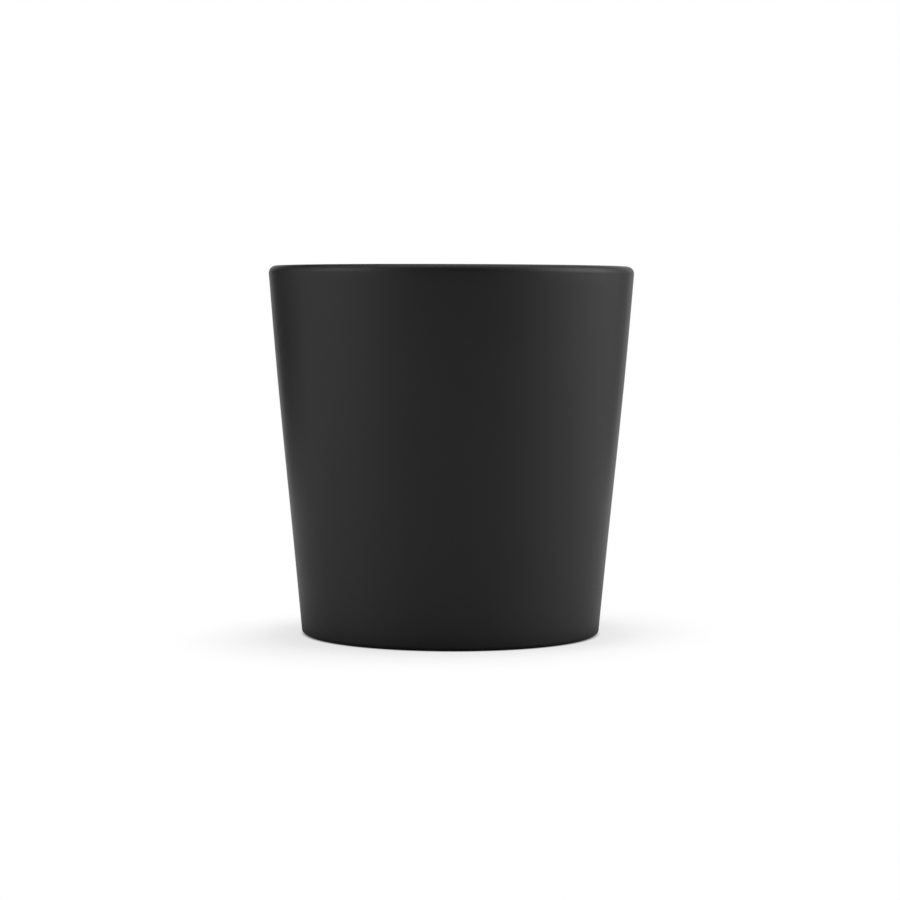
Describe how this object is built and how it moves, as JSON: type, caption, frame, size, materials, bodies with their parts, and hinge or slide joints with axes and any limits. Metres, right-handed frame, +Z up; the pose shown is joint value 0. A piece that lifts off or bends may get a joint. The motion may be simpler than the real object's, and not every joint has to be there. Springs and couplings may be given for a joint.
{
  "type": "mug",
  "caption": "Tapered stoneware mug without a handle, matte black outside, with a rounded lip and a bare foot ring round a shallow hollow.",
  "frame": {"origin": "middle of the foot, on the surface that the mug stands on", "axes": "+Z up along the mug's axis; X and Y are alike, because the mug is round"},
  "size_m": [0.0876, 0.0876, 0.0885],
  "materials": {
    "bare_stoneware": "unglazed fired clay, fine sandy grain",
    "matte_black_glaze": "even matte black glaze with a soft wide sheen",
    "satin_black_liner": "satin black glaze, smoother than the outside",
    "matte_black_recess_glaze": "matte black glaze, thin and a little uneven"
  },
  "bodies": {
    "root": {"stoneware_body": "bare_stoneware", "outer_glaze": "matte_black_glaze", "liner_glaze": "satin_black_liner", "foot_recess_glaze": "matte_black_recess_glaze"}
  },
  "joints": []
}
